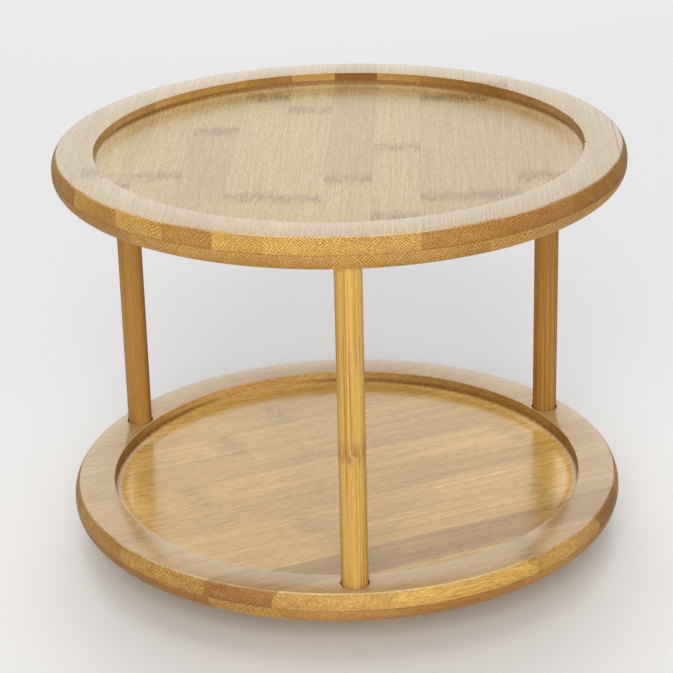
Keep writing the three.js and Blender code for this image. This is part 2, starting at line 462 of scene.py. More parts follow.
class Bamboo(Graph):
    """Laminated bamboo: strips along grain (degrees from +X), counted to the grain's right.

    joint is the height of the glue line between two plies, and rim the height of the rim's
    top on a tray with a recess."""

    def __init__(self, name, grain, joint, rim):
        super().__init__(name)
        self.joint = joint
        self.rim = rim
        place, facing = [self.along_grain(output, grain) for output in ("Object", "Normal")]
        self.along, left, self.up = place
        self.end = self.math("ABSOLUTE", facing[0])
        self.level = self.math("ABSOLUTE", facing[2])
        ripple = self.vector(self.product(self.along, 6), self.product(left, 20), self.up)
        wander = self.noise(ripple, detail=1)
        self.across = self.varied(wander, 1.2 * MM, self.math("MULTIPLY", left, -1.0))
        self.radius = self.length(self.vector(self.along, left, 0.0))
        self.axes = self.along, self.across, self.up

    def along_grain(self, output, grain):
        turn = self.node("ShaderNodeVectorRotate", rotation_type="Z_AXIS")
        turn.inputs["Angle"].default_value = -math.radians(grain)
        self.link(self.place.outputs[output], turn.inputs["Vector"])
        return self.split(turn.outputs[0])

    def lay_strips(self, pitch, offset, tones, rim_shift):
        """Number the strips, with 0 at the middle of tones, and draw each one's luck."""
        start = offset
        if rim_shift:
            wall = RECESS_RADIUS + 0.5 * MM
            start = self.ramp(self.radius, wall, wall + 0.5 * MM, offset, offset + rim_shift)
        strips = self.math("DIVIDE", self.math("SUBTRACT", self.across, start), pitch)
        self.strip = self.math("FLOOR", strips)
        self.inside = self.math("FRACT", strips)
        centre = self.math("ADD", self.strip, 0.5 + len(tones) // 2)
        self.tone = self.steps(self.math("DIVIDE", centre, len(tones)), tones)
        draw = self.node("ShaderNodeTexWhiteNoise", noise_dimensions="1D")
        self.link(self.strip, draw.inputs["W"])
        luck = self.node("ShaderNodeSeparateColor")
        self.link(draw.outputs["Color"], luck.inputs[0])
        self.luck = luck.outputs
        shifted = self.math("MULTIPLY_ADD", self.strip, 0.731, self.along)
        self.strip_axes = shifted, self.across, self.up

    def find_faces(self):
        """Masks for sides, cut ends and the recess's inside."""
        limits = FACE_LIMITS
        if self.rim is not None:
            foot = RECESS_RADIUS - 0.16 * MM
            hollow = self.ramp(self.radius, foot, foot + 0.1 * MM, 1.0, 0.0)
            limits = [self.ramp(hollow, 0.0, 1.0, *pair) for pair in zip(FACE_LIMITS, RECESS_FACE_LIMITS)]
        self.side = self.math("SUBTRACT", 1.0, self.ramp(self.level, *limits[:2]))
        self.cut_end = self.ramp(self.end, *limits[2:])
        self.side_end = self.product(self.cut_end, self.side)
        self.flat = self.math("SUBTRACT", 1.0, self.side)
        if self.rim is not None:
            self.inner = self.ramp(self.radius, RECESS_RADIUS + 1 * MM, RECESS_RADIUS + 2 * MM, 1.0, 0.0)
            self.bare = self.product(self.math("SUBTRACT", 1.0, self.cut_end), self.inner)
            self.shallow = self.ramp(self.up, self.rim - 4 * MM, self.rim - 1 * MM)
            self.sanded = self.product(self.shallow, self.flat)

    def on_strip(self, which):
        return self.math("COMPARE", self.strip, float(which), 0.5)

    def stretch(self, start, stop, fade):
        """A mask from start to stop along the grain, fading in and out inside them."""
        rise = self.ramp(self.along, start, start + fade)
        return self.product(rise, self.ramp(self.along, stop - fade, stop, 1.0, 0.0))

    def shade_strips(self, streaky, stretches):
        """The tone, from 0 (honey) to 1 (brown): strip by strip, then bands and clouds."""
        self.clouds = self.streaks(self.strip_axes, CLOUD)
        self.bands = self.streaks(self.strip_axes, BAND)
        shade = self.varied(self.bands, streaky, self.tone)
        shade = self.varied(self.clouds, 0.45, shade)
        shade = self.varied(self.inside, 0.10, shade)
        for which, start, stop, extra in stretches:
            here = self.product(self.on_strip(which), self.stretch(start - 2 * MM, stop + 2 * MM, 4 * MM))
            shade = self.math("MULTIPLY_ADD", here, extra, shade)
        if self.joint is not None:
            low_down = self.ramp(self.up, self.joint, self.joint + 3.5 * MM, 0.16, 0.0)
            shade = self.math("ADD", shade, self.product(low_down, self.side))
        self.shade = self.math("ADD", shade, 0.0, clamp=True)

    def colour_faces(self, pale, rim_tone, floor_tint, end_shade):
        """Honey to brown on the sides, and the pale pair of colours on level faces."""
        self.colour = self.mix(self.shade, HONEY, BROWN)
        honeyed = self.side
        if self.rim is not None:
            # The wall is paler where it runs along the grain, and the rim's top more even.
            honeyed = self.product(self.side, self.blend(self.bare, 1.0, 0.50))
            even = (rim_tone, rim_tone, rim_tone)
            self.shade = self.mix(self.product(self.sanded, 0.45), self.shade, even)
        self.paint(self.blend(honeyed, 0.92, 0.0), self.mix(self.shade, *pale))
        if self.rim is not None:
            # Painted light: the recess floor is made paler beside the wall, where the wall shades it and
            # darkens its reflection.
            near_wall = self.ramp(self.radius, RECESS_RADIUS - 16 * MM, RECESS_RADIUS - 7 * MM)
            painted_light_floor = tuple(c * lift for c, lift in zip(floor_tint, NEAR_WALL_PAINTED_LIGHT))
            floor = self.mix(near_wall, floor_tint, painted_light_floor)
            self.tint(self.flat, self.mix(self.shallow, floor, (1.0, 1.0, 1.0)))
            self.tint(self.product(self.inner, self.side_end), END_WALL_TINT)
            self.tint(self.product(self.bare, self.side), LONG_WALL_TINT)
        self.tint(self.side_end, (end_shade, end_shade, end_shade))
        self.paint(self.blend(self.luck[1], 0.0, 0.10), PINK)

    def add_bundles(self):
        """Vascular bundles: rows of dots on cut ends, fine dashes on long faces."""
        ripple = self.vector(self.product(self.across, 90), self.product(self.up, 160), self.strip)
        ripple = self.noise(ripple, detail=1)
        column = self.varied(ripple, 3.0 * MM, self.across)
        row = self.varied(ripple, -2.0 * MM, self.up)
        if self.joint is not None:
            above = self.math("SUBTRACT", row, self.joint)
            row = self.math("MULTIPLY_ADD", self.product(above, above), 28.0, row)
        diagonal = math.sqrt(0.5) / BUNDLE_SPACING
        first = self.product(self.math("ADD", column, row), diagonal)
        second = self.product(self.math("SUBTRACT", column, row), diagonal)
        bundles = self.node("ShaderNodeTexVoronoi", voronoi_dimensions="2D")
        bundles.inputs["Randomness"].default_value = 0.30
        bundles.inputs["Scale"].default_value = 1.0
        self.link(self.vector(first, second, 0.0), bundles.inputs["Vector"])
        size = self.ramp(self.bands, 0.3, 0.7, 0.40, 0.50, smooth=False)
        self.dots = self.ramp(bundles.outputs["Distance"], 0.16, size, 1.0, 0.0)
        density = self.blend(self.luck[0], 0.80, 1.0)
        density = self.product(density, self.ramp(self.shade, 0.0, 0.8, 0.85, 1.15, smooth=False))
        strength = self.ramp(self.cut_end, 0.0, 1.0, 0.10, 1.0)
        if self.rim is not None:
            higher = self.ramp(self.up, self.rim - 8 * MM, self.rim - 1 * MM, 0.8, 1.15, smooth=False)
            density = self.product(density, higher)
            strength = self.product(strength, self.blend(self.inner, 1.0, 0.45))
        self.paint(self.product(self.dots, density, strength), BUNDLE)

    def add_fibres(self):
        """Fine lines and flecks, fainter where the rim's top is sanded."""
        fibre = self.streaks(self.strip_axes, FIBRE)
        self.fleck = self.streaks(self.strip_axes, FLECK, roughness=0.6)
        lines = self.ramp(fibre, 0.33, 0.67, 0.85, 1.12, smooth=False)
        lines = self.product(lines, self.ramp(self.fleck, 0.30, 0.70, 0.77, 1.20, smooth=False))
        self.relief = self.fleck
        if self.rim is not None:
            lines = self.math("POWER", lines, self.blend(self.sanded, 1.0, 0.60))
            self.relief = self.product(self.fleck, self.blend(self.sanded, 0.9, 0.45))
        self.tint(1.0, self.vector(lines, self.math("POWER", lines, 1.25), self.math("POWER", lines, 2.4)))

    def add_knuckles(self, knuckles, feather):
        """Marks right across one strip each, made of short broken fibres."""
        comb = self.streaks(self.axes, COMB, roughness=0.6)
        uneven = self.streaks(self.axes, PATCH)
        marks = []
        for which, spot in knuckles:
            place = self.varied(comb, 14 * MM, self.along)
            away = self.varied(uneven, 9 * MM, self.distance(place, spot))
            marks.append(self.product(self.on_strip(which), self.ramp(away, 1 * MM, 10 * MM, 1.0, 0.0)))
        broken = self.ramp(comb, 0.42, 0.60, 0.25, 0.85 - 0.3 * feather)
        patchy = self.ramp(uneven, 0.45, 0.65, 1.0 - feather, 1.0)
        mark = self.product(self.largest(marks), broken, patchy)
        self.paint(mark, KNUCKLE)
        self.relief = self.math("MULTIPLY_ADD", mark, -0.5, self.relief)

    def add_glue(self):
        """The dark line between the plies, and faint seams between the strips."""
        if self.joint is not None:
            spots = self.streaks(self.axes, GLUE_SPOT, detail=3, roughness=0.65)
            width = self.ramp(spots, 0.35, 0.65, 0.08 * MM, 0.26 * MM, smooth=False)
            away = self.math("DIVIDE", self.distance(self.up, self.joint), width)
            line = self.math("SUBTRACT", 1.0, away, clamp=True)
            self.paint(self.product(line, self.side, self.ramp(spots, 0.3, 0.6, 0.35, 0.95)), GLUE)
        seam = self.math("MINIMUM", self.inside, self.math("SUBTRACT", 1.0, self.inside))
        seam = self.ramp(seam, 0.002, 0.012, 1.0, 0.0)
        self.paint(self.product(seam, self.ramp(self.clouds, 0.40, 0.65, 0.0, 0.30)), BUNDLE)

    def add_wall_shade_and_highlight(self):
        """Painted shade along the recess wall's foot, and a painted highlight on the rim's crisp edges."""
        comb = self.streaks(self.axes, LONG_COMB)
        # Painted shade: a dark band along the foot of the recess wall.
        away = self.distance(self.up, self.rim - RECESS_WALL - 0.5 * MM)
        foot_shade = self.product(self.ramp(away, 0.5 * MM, 1.4 * MM, 1.0, 0.0), self.ramp(self.end, 0.05, 0.40))
        self.paint(self.product(foot_shade, self.inner, self.ramp(comb, 0.3, 0.6, 0.60, 0.95)), WALL_FOOT_SHADE)
        # Painted highlight: a pale line along the eased top edges of the rim, outside and at the recess
        # mouth.
        edge = self.ramp(self.up, self.rim - 0.60 * MM, self.rim - 0.40 * MM)
        edge = self.product(edge, self.ramp(self.level, 0.30, 0.50))
        edge = self.product(edge, self.ramp(self.level, 0.93, 0.995, 1.0, 0.0))
        self.paint(self.product(edge, self.ramp(self.clouds, 0.35, 0.65, 0.12, 0.45)), SCAR_RING_AND_EDGE_HIGHLIGHT)

    def add_crack(self, spot, start, stop):
        """A dark line at one place across the grain, from start to stop along it."""
        wobble = self.varied(self.streaks(self.axes, LONG_COMB), 0.5 * MM, self.across)
        line = self.ramp(self.distance(wobble, spot), 0.08 * MM, 0.36 * MM, 1.0, 0.0)
        self.paint(self.product(line, self.stretch(start, stop, 12 * MM), 0.85), GLUE)

    def lacquered(self, ior, satin):
        self.shader.inputs["IOR"].default_value = ior
        dents = self.product(self.dots, self.cut_end, -0.6)
        self.bump(self.math("ADD", self.relief, dents), 0.20, 0.12 * MM)
        gloss = self.ramp(self.side, 0.0, 1.0, satin, 0.65)
        return self.finished(self.varied(self.fleck, 0.14, gloss))


def bamboo(name, grain, pitch, offset, tones, pale, knuckles=(), stretches=(), cracks=(),
           feather=0.0, streaky=0.3, joint=None, rim=None, rim_shift=0.0, rim_tone=0.35,
           floor_tint=(1.0, 1.0, 1.0), end_shade=1.0, ior=1.42, satin=0.34):
    """One piece's bamboo; grain, joint and rim as in Bamboo.

    Strips are pitch wide and start at offset, or rim_shift further on the rim; tones are
    theirs, and pale the colours, light and dark, of level faces. A knuckle is (strip, place
    along the grain), a stretch (strip, start, end, extra tone) and a crack (place across,
    start, end). feather breaks the knuckles up, and streaky is how much the tone varies
    within a strip. rim_tone evens out the rim's top, floor_tint colours the recess's floor
    and end_shade darkens the cut ends. satin is the roughness of level faces."""
    g = Bamboo(name, grain, joint, rim)
    g.lay_strips(pitch, offset, tones, rim_shift)
    g.find_faces()
    g.shade_strips(streaky, stretches)
    g.colour_faces(pale, rim_tone, floor_tint, end_shade)
    g.add_bundles()
    g.add_fibres()
    if knuckles:
        g.add_knuckles(knuckles, feather)
    g.add_glue()
    if rim is not None:
        g.add_wall_shade_and_highlight()
    for crack in cracks:
        g.add_crack(*crack)
    return g.lacquered(ior, satin)


def dowel(name, tone, seed, lined, knuckle=None):
    """A bamboo dowel: fibres run up the post, and lined says how much they stand out.

    seed moves the pattern along the post, and knuckle is a height above its middle."""
    g = Graph(name)
    x, y, height = g.split(g.place.outputs["Object"])
    z = g.math("ADD", height, seed)
    wander = g.noise(g.vector(x, y, g.math("MULTIPLY", z, 7)), detail=1)
    x = g.varied(wander, 1.5 * MM, x)
    broad = g.streaks((z, x, y), (240 * MM, 4.5 * MM))
    lines = g.streaks((z, x, y), (90 * MM, 0.7 * MM))
    fleck = g.streaks((z, x, y), (6 * MM, 0.45 * MM), roughness=0.6)
    shade = g.varied(lines, lined, g.varied(broad, 0.7, tone))
    relief = fleck
    if knuckle is not None:
        comb = g.streaks((z, x, y), (5 * MM, 0.8 * MM))
        away = g.distance(g.varied(comb, 16 * MM, height), knuckle)
        band = g.ramp(away, 1 * MM, 7 * MM, 1.0, 0.0)
        marks = g.product(band, g.ramp(comb, 0.38, 0.58, 0.15, 0.75))
        shade = g.math("MULTIPLY_ADD", marks, 0.6, shade)
        relief = g.math("MULTIPLY_ADD", marks, -0.8, fleck)
    g.colour = g.mix(g.math("ADD", shade, 0.0, clamp=True), HONEY, BROWN)
    g.paint(g.ramp(lines, 0.54, 0.66, 0.0, 0.65 * lined), DOWEL_LINE)
    specks = g.ramp(fleck, 0.30, 0.70, 0.90, 1.09, smooth=False)
    g.tint(1.0, g.vector(specks, specks, specks))
    if knuckle is not None:
        # A few rootlet scars in the knuckle: dark pits in light rings.
        scars = g.node("ShaderNodeTexVoronoi")
        scars.inputs["Scale"].default_value = 1 / (2.6 * MM)
        g.link(g.vector(x, y, z), scars.inputs["Vector"])
        away = scars.outputs["Distance"]
        g.paint(g.product(g.ramp(away, 0.18, 0.30, 0.30, 0.0), band), SCAR_RING_AND_EDGE_HIGHLIGHT)
        g.paint(g.product(g.ramp(away, 0.12, 0.24, 0.85, 0.0), band), GLUE)
    g.shader.inputs["IOR"].default_value = 1.36
    g.bump(relief, 0.25, 0.12 * MM)
    return g.finished(g.varied(fleck, 0.16, 0.62))


# ---- Metal, rubber and plastic ------------------------------------------------------


def metal(name, colour, roughness, grain=900.0):
    g = Graph(name)
    place = g.place.outputs["Object"]
    cloud = g.noise(place, scale=140, detail=3)
    speck = g.noise(place, scale=grain, detail=2)
    darker = tuple(c * 0.72 for c in colour)
    g.colour = g.mix(g.ramp(cloud, 0.35, 0.7), colour, darker)
    g.shader.inputs["Metallic"].default_value = 1.0
    g.bump(speck, 0.08, 0.05 * MM)
    return g.finished(g.math("MULTIPLY_ADD", speck, 0.18, roughness))


def moulded(name, colour, roughness, grain, depth):
    g = Graph(name)
    place = g.place.outputs["Object"]
    cloud = g.noise(place, scale=90, detail=3)
    speck = g.noise(place, scale=grain, detail=2)
    lighter = tuple(min(1.0, c * 1.35 + 0.01) for c in colour)
    g.colour = g.mix(g.ramp(cloud, 0.3, 0.75), colour, lighter)
    g.bump(speck, depth, 0.1 * MM)
    return g.finished(g.math("MULTIPLY_ADD", speck, 0.2, roughness))


ZINC_PLATE = metal("zinc_plate", (0.60, 0.61, 0.63), 0.30)
ZINC_SCREW = metal("zinc_screw", (0.66, 0.67, 0.68), 0.26)
BALL_STEEL = metal("ball_steel", (0.78, 0.79, 0.80), 0.08, grain=300)
NYLON = moulded("nylon", (0.74, 0.71, 0.63), 0.42, 900, 0.1)
RUBBER = moulded("rubber", (0.022, 0.022, 0.023), 0.62, 1800, 0.25)

# ---- Trays --------------------------------------------------------------------------


def sockets(bottom, top, mouth=None):
    """Cutters for the posts' drilled holes, flared at the height mouth of the face they open."""
    cutters = []
    for node in POSTS:
        centre = middle(node)
        radius = half_width(node) + SOCKET_GAP
        side = [(radius, bottom), (radius, top)]
        if mouth is not None:
            wide = radius + 2 * SOCKET_FLARE
            under, over = (radius, wide) if mouth < centre.z else (wide, radius)
            side = [(under, bottom), (under, mouth - SOCKET_FLARE),
                    (over, mouth + SOCKET_FLARE), (over, top)]
        cutter = turned("cutter", [(0, bottom), *side, (0, top)], 64)
        cutters.append(moved(cutter, Vector((centre.x, centre.y, 0))))
    return cutters


def glue_corner(height, inwards):
    """A ply's eased corner at the glue line; inwards is 1 on the upper ply, -1 on the lower."""
    return [(TRAY_RADIUS - 1.6 * GLUE_EASE, height),
            (TRAY_RADIUS - 0.4 * GLUE_EASE, height + inwards * 0.3 * GLUE_EASE)]


def top_ply(node):
    """A ply with the raised rim, the recess wall, and the cove down to the floor."""
    bottom, top = low(node).z, high(node).z
    bulge = TRAY_RADIUS - TOP_FACE_RADIUS
    height = top - bottom - 2 * GLUE_EASE
    edge = []
    for i in range(EDGE_ROWS + 1):
        rise = i / EDGE_ROWS
        edge.append((TRAY_RADIUS - bulge * rise ** 3, bottom + GLUE_EASE + height * rise))
    ease = (EDGE_EASE, EDGE_EASE)
    rim = arc((TOP_FACE_RADIUS - EDGE_EASE, top - EDGE_EASE), ease, 20, 90, 4)
    mouth = arc((RECESS_RADIUS + EDGE_EASE, top - EDGE_EASE), ease, 90, 180, 4)
    foot = top - RECESS_WALL
    ledge = [(RECESS_RADIUS, foot + 0.1 * MM), (RECESS_RADIUS - 0.05 * MM, foot),
             (RECESS_RADIUS - LEDGE, foot)]
    cove = arc((RECESS_RADIUS - LEDGE - COVE_WIDTH, foot), (COVE_WIDTH, RECESS_COVE), -6, -90, 16)
    floor = foot - RECESS_COVE
    profile = [(0, bottom), (CENTRE_PATCH, bottom), *glue_corner(bottom, 1), *edge, *rim, *mouth,
               *ledge, *cove, (CENTRE_PATCH, floor), (0, floor)]
    return turned(node + "_fine", profile, TRAY_STEPS)


def bottom_ply(node):
    """A ply whose edge rolls under in a quarter of an ellipse."""
    bottom, top = low(node).z, high(node).z
    height = top - bottom - GLUE_EASE
    roll = (TRAY_RADIUS - UNDERSIDE_RADIUS, height)
    edge = arc((UNDERSIDE_RADIUS, bottom + height), roll, -90, 0, 18)
    profile = [(0, bottom), (CENTRE_PATCH, bottom), *edge, *reversed(glue_corner(top, -1)),
               (CENTRE_PATCH, top), (0, top)]
    return turned(node + "_fine", profile, TRAY_STEPS)


def countersink_cutters():
    """Cutters for the post screws' holes, from the lower tray's underside."""
    face = low("lower_tray_bottom_ply").z
    deep = face + 16 * MM
    gap, flare = 0.3 * MM, 0.5 * MM
    cutters = []
    for node in POST_SCREWS:
        centre = middle(node)
        head = half_width(node) + gap
        seat = low(node).z
        profile = [(0, face - PAST), (head + 2 * flare, face - PAST), (head + flare, face),
                   (head, face + 0.4 * MM), (head, seat + 0.2 * MM), (POST_PILOT, seat + 2.7 * MM),
                   (POST_PILOT, deep), (0, deep)]
        cutters.append(moved(turned("cutter", profile, 48), Vector((centre.x, centre.y, 0))))
    return cutters


def nick_cutters():
    """Two small dents in the edge of the upper recess, at its right."""
    face = high("upper_tray_top_ply").z
    cutters = []
    for angle, size in ((11, 0.7 * MM), (-7, 0.9 * MM)):
        turn = Matrix.Rotation(math.radians(angle), 3, "Z")
        place = turn @ Vector((RECESS_RADIUS + 0.1 * MM, 0, face))
        cutters.append(moved(turned("cutter", half_circle(size, 10), 24), place))
    return cutters


# Strip tones from 0 (honey) to 1 (brown), counted to the right of each tray's grain.
UPPER_GRAIN, LOWER_GRAIN = 86.6, 22.4
UPPER_PITCH, LOWER_PITCH = 20.75 * MM, 22.7 * MM
UPPER_TONES = [0.90, 0.75, 0.50, 0.22, 0.62, 0.18, 0.12, 0.20, 0.24, 0.62, 0.70, 0.80, 0.90, 0.90]
UPPER_UNDER_TONES = [0.60, 0.50, 0.45, 0.30, 0.30, 0.35, 0.30, 0.22, 0.28, 0.34, 0.30, 0.42, 0.50, 0.50]
LOWER_TONES = [0.45, 0.40, 0.45, 0.35, 0.26, 0.36, 0.20, 0.42, 0.18, 0.24, 0.85, 0.42, 0.30, 0.40]
LOWER_UNDER_TONES = [0.55, 0.50, 0.45, 0.50, 0.40, 0.45, 0.55, 0.55, 0.70, 0.60, 0.30, 0.62, 0.75, 0.75]
BASE_TONES = [0.40, 0.30, 0.50, 0.35, 0.25, 0.45, 0.30, 0.40]
UPPER_KNUCKLES = [(-1, 68 * MM), (1, 8.8 * MM), (0, -35.5 * MM), (-1, -61 * MM), (1, -84 * MM),
                  (2, -60 * MM), (3, -57 * MM), (-3, 36 * MM), (-4, -28 * MM), (2, 85 * MM),
                  (3, 84 * MM), (-2, 88 * MM), (-5, -42 * MM), (-2, -58 * MM), (4, -34 * MM)]
UPPER_STRETCHES = [(0, -33 * MM, 130 * MM, 0.55), (-3, -60 * MM, 34 * MM, 0.20),
                   (1, -100 * MM, -86 * MM, 0.15), (-5, -42 * MM, -24 * MM, 0.60),
                   (-3, 40 * MM, 130 * MM, -0.36), (-2, 92 * MM, 130 * MM, 0.42),
                   (0, 98 * MM, 130 * MM, 0.25)]
UPPER_CRACKS = [(122.2 * MM, -32 * MM, 33 * MM)]
LOWER_KNUCKLES = [(-1, -71 * MM), (-3, -37 * MM), (-4, -1 * MM), (1, -37 * MM), (4, 36 * MM),
                  (2, 73 * MM), (-1, 92 * MM)]
BASE_KNUCKLES = [(-1, 30 * MM), (1, -22 * MM), (2, 40 * MM)]

# Linear colours of level faces, light and dark, and the factors on them in the recess.
UPPER_PALE = (0.59, 0.465, 0.275), (0.49, 0.365, 0.195)
LOWER_PALE = (0.77, 0.55, 0.28), (0.37, 0.215, 0.050)
UPPER_TINT = (0.91, 0.83, 0.51)
LOWER_TINT = (1.10, 1.02, 0.50)


def build_lower_tray():
    face, joint = high("lower_tray_top_ply").z, low("lower_tray_top_ply").z
    underside = low("lower_tray_bottom_ply").z
    post_foot = low("post_front").z - SOCKET_SPARE
    pilot_depth = 5.4 * MM
    ply = carve(top_ply("lower_tray_top_ply"), sockets(post_foot, face + CLEAR, mouth=face))
    wood = bamboo("bamboo_lower_top", LOWER_GRAIN, LOWER_PITCH, 1.2 * MM, LOWER_TONES, LOWER_PALE,
                  LOWER_KNUCKLES, feather=0.6, streaky=0.7, joint=joint, rim=face, rim_shift=7 * MM,
                  rim_tone=0.60, floor_tint=LOWER_TINT, end_shade=0.82, ior=1.43, satin=0.21)
    finish_piece(ply, wood, "carousel", "lower_tray_bamboo", "lower_tray_top_ply")
    drilled = sockets(post_foot, face + CLEAR) + countersink_cutters()
    drilled += pilot_cutters("tray_screw_", underside - PAST, underside + pilot_depth, 24)
    ply = carve(bottom_ply("lower_tray_bottom_ply"), drilled)
    wood = bamboo("bamboo_lower_low", LOWER_GRAIN, LOWER_PITCH, 10.0 * MM, LOWER_UNDER_TONES,
                  LOWER_PALE, joint=joint, end_shade=0.82)
    finish_piece(ply, wood, "carousel", "lower_tray_bamboo", "lower_tray_bottom_ply")


def build_upper_tray():
    face, joint = high("upper_tray_top_ply").z, low("upper_tray_top_ply").z
    underside = low("upper_tray_bottom_ply").z
    post_head = high("post_front").z + SOCKET_SPARE
    drilled = sockets(underside - CLEAR, post_head, mouth=underside)
    ply = carve(bottom_ply("upper_tray_bottom_ply"), drilled)
    wood = bamboo("bamboo_upper_low", UPPER_GRAIN, UPPER_PITCH, 1.0 * MM, UPPER_UNDER_TONES,
                  UPPER_PALE, joint=joint, end_shade=0.95)
    finish_piece(ply, wood, "carousel", "upper_tray_bamboo", "upper_tray_bottom_ply")
    drilled = sockets(underside - CLEAR, post_head) + nick_cutters()
    ply = carve(top_ply("upper_tray_top_ply"), drilled)
    wood = bamboo("bamboo_upper_top", UPPER_GRAIN, UPPER_PITCH, -5.3 * MM, UPPER_TONES, UPPER_PALE,
                  UPPER_KNUCKLES, UPPER_STRETCHES, UPPER_CRACKS, streaky=0.25, joint=joint, rim=face,
                  floor_tint=UPPER_TINT, end_shade=0.95, ior=1.38, satin=0.32)
    finish_piece(ply, wood, "carousel", "upper_tray_bamboo", "upper_tray_top_ply")


# ---- Posts --------------------------------------------------------------------------


def post_shape(node):
    """A dowel round its own middle, with eased ends and a pilot hole in its foot."""
    radius, half = half_width(node), half_height(node)
    rows = 60
    rise = 2 * (half - POST_EASE) / rows
    side = [(radius, -half + POST_EASE + rise * i) for i in range(rows + 1)]
    profile = [(0, -half), (radius - POST_EASE, -half), *side, (radius - POST_EASE, half), (0, half)]
    pilot = round_cutter(POST_PILOT, -half - CLEAR, -half + POST_PILOT_DEPTH, Vector((0, 0)))
    return carve(turned(node + "_fine", profile, 72), [pilot])


def build_posts():
    looks = {
        "post_front": dowel("dowel_front", 0.28, 2.2, lined=0.9, knuckle=-8.5 * MM),
        "post_right": dowel("dowel_right", 0.80, 1.7, lined=0.8),
        "post_left": dowel("dowel_left", 0.74, 3.1, lined=0.35),
    }
    for node, material in looks.items():
        post = post_shape(node)
        post.location = middle(node)
        finish_piece(post, material, "carousel", "dowel_bamboo", node)


# ---- Base disc and feet -------------------------------------------------------------


def build_base_disc():
    bottom, top, radius = low("base_disc").z, high("base_disc").z, high("base_disc").x
    ease = 2 * MM
    access_radius, pilot_depth = 6 * MM, 5.3 * MM
    edge = [(0, bottom), (radius, bottom), (radius, top), (0, top)]
    disc = turned("base_disc_fine", rounded(edge, (0, ease, ease, 0), 8), 192)
    cutters = [round_cutter(access_radius, bottom - PAST, top + PAST, ACCESS, 64)]
    cutters += pilot_cutters("base_screw_", top - pilot_depth, top + PAST, 32)
    carve(disc, cutters)
    wood = bamboo("bamboo_base", 0, 21 * MM, 6 * MM, BASE_TONES, LOWER_PALE, BASE_KNUCKLES,
                  feather=0.4, streaky=0.5)
    finish_piece(disc, wood, "base", "base_bamboo", "base_disc")


def build_feet():
    """Round pads that are hollow in the middle, so that they stand on a ring."""
    top, radius = high(FEET[0]).z, half_width(FEET[0])
    dish = 0.35 * MM
    soft = 0.8 * MM
    corners = [(0, dish), (radius * 0.45, dish), (radius * 0.62, 0), (radius - 0.3 * MM, 0),
               (radius, top * 0.6), (radius, top), (0, top)]
    pad = turned("foot", rounded(corners, (0, soft, soft, soft, 0.5 * MM, 0.15 * MM, 0)), 64)
    for foot, node in zip(copies(pad, len(FEET)), FEET):
        foot.name = node + "_fine"
        place = middle(node)
        moved(foot, Vector((place.x, place.y, 0)))
        finish_piece(foot, RUBBER, "base", "foot_rubber", node)


# ---- Swivel -------------------------------------------------------------------------


def groove(radius, lip):
    """The ball groove's section, where it is deeper than lip below the balls' level."""
    half = math.degrees(math.acos(lip / radius))
    return arc((GROOVE_CIRCLE, 0), (radius, radius), -90 + half, -90 - half, 16)


def plate_shape(name):
    """The lower pressed plate: flange outside, ball groove, raised middle round the rivet."""
    flange = low("bearing_lower_plate").z - SWIVEL_LEVEL + PLATE
    step = GROOVE_CIRCLE + 4.6 * MM
    rim = high("bearing_lower_plate").x
    bore = 7 * MM
    lean = 0.6 * MM
    inner = groove(GROOVE_RADIUS, LIP)
    outer = groove(GROOVE_RADIUS + PLATE, LIP + PLATE)[::-1]
    ease = 0.3 * MM
    corners = [(bore, -LIP - PLATE), *outer, (step - lean, flange - PLATE), (rim, flange - PLATE),
               (rim, flange), (step + lean, flange), *inner, (bore, -LIP)]
    radii = [ease] + [0] * len(outer) + [1.2 * MM, ease, ease, 0.5 * MM] + [0] * len(inner) + [ease]
    return turned(name, rounded(corners, radii), 128, smooth_angle=50)


def build_plate(node, prefix, body, upper):
    """One swivel plate, with its screw holes and a hole to reach the other plate's screws."""
    plate = plate_shape(node + "_fine")
    if upper:
        spun(plate, math.pi, "X")
    reach = 6 * MM
    access_radius, access_turn = 5 * MM, 22.5 if upper else 0
    spot = Matrix.Rotation(math.radians(access_turn), 3, "Z") @ ACCESS
    cutters = pilot_cutters(prefix, -reach, reach, 40)
    cutters.append(round_cutter(access_radius, -reach, reach, spot, 48))
    moved(carve(plate, cutters, 50), Vector((0, 0, SWIVEL_LEVEL)))
    finish_piece(plate, ZINC_PLATE, body, "plate_steel", node)


def pan_head(name, length):
    """A pan-head screw, thread downwards, with a cross recess; 0 is under its head."""
    shank, head, tall = 1.6 * MM, 3.4 * MM, 1.9 * MM
    pitch = 0.5 * MM
    ridges = []
    for i in range(int((length - 2.2 * MM) / pitch)):
        foot = -length + 1.7 * MM + i * pitch
        ridges += [(shank * 0.80, foot), (shank, foot + pitch * 0.5)]
    crown = 1.1 * MM
    profile = [(0, -length), (shank * 0.55, -length + 1.5 * MM), *ridges, (shank * 0.9, 0), (head, 0),
               *arc((head - crown, tall - crown), (crown, crown), 0, 90, 6), (0, tall)]
    screw = turned(name, profile, 40, smooth_angle=40)
    return carve(screw, cross_cutters(tall, 1.7 * MM, 1.2 * MM), 40)


def build_plate_screws(prefix, body, upper):
    nodes = starting(prefix)
    for screw, node in zip(copies(pan_head("pan_screw", PLATE_SCREW), len(nodes)), nodes):
        screw.name = node + "_fine"
        turn = 0.9 * number(node)
        spun(screw, turn)
        place = middle(node)
        place.z = low(node).z + PLATE_SCREW
        if upper:
            spun(screw, math.pi, "X")
            place.z = high(node).z - PLATE_SCREW
        moved(screw, place)
        finish_piece(screw, ZINC_SCREW, body, "fastener_steel", node)


